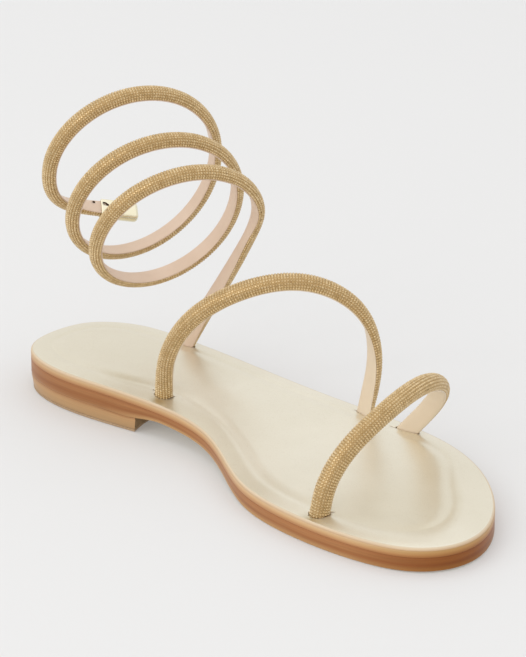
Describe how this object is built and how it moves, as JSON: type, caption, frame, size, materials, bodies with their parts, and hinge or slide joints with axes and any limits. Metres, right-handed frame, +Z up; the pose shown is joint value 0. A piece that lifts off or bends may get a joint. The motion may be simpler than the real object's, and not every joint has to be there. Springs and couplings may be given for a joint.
{
  "type": "flat spiral-wrap sandal",
  "caption": "Flat open sandal with a thin toe strap, a thin instep strap and a strap that winds round the ankle as a springy coil ending in a metal cap.",
  "frame": {"origin": "middle of the heel's floor face, where the heel stands on the floor", "axes": "+X forward to the toe, +Y to the outer (lateral) side of this left shoe, +Z up from the floor"},
  "size_m": [0.2514, 0.0899, 0.1297],
  "materials": {
    "outsole": "red-brown dyed and polished leather edge, pale beige floor side",
    "midsole": "light tan smooth leather edge",
    "footbed": "pale gold metallic leather, softly padded",
    "heel_block": "tan stacked leather, smooth",
    "top_lift": "brown hard rubber, matt",
    "toe_strap": "gold crystal mesh outside, nude leather lining inside",
    "instep_strap": "gold crystal mesh outside, nude leather lining inside",
    "ankle_coil": "gold crystal mesh outside, nude leather lining inside, over a springy core",
    "coil_end_cap": "bright polished pale gold"
  },
  "bodies": {
    "root": {"outsole": "outsole", "midsole": "midsole", "footbed": "footbed", "heel_block": "heel_block", "top_lift": "top_lift", "toe_strap": "toe_strap", "instep_strap": "instep_strap", "ankle_coil": "ankle_coil", "coil_end_cap": "coil_end_cap"}
  },
  "joints": []
}
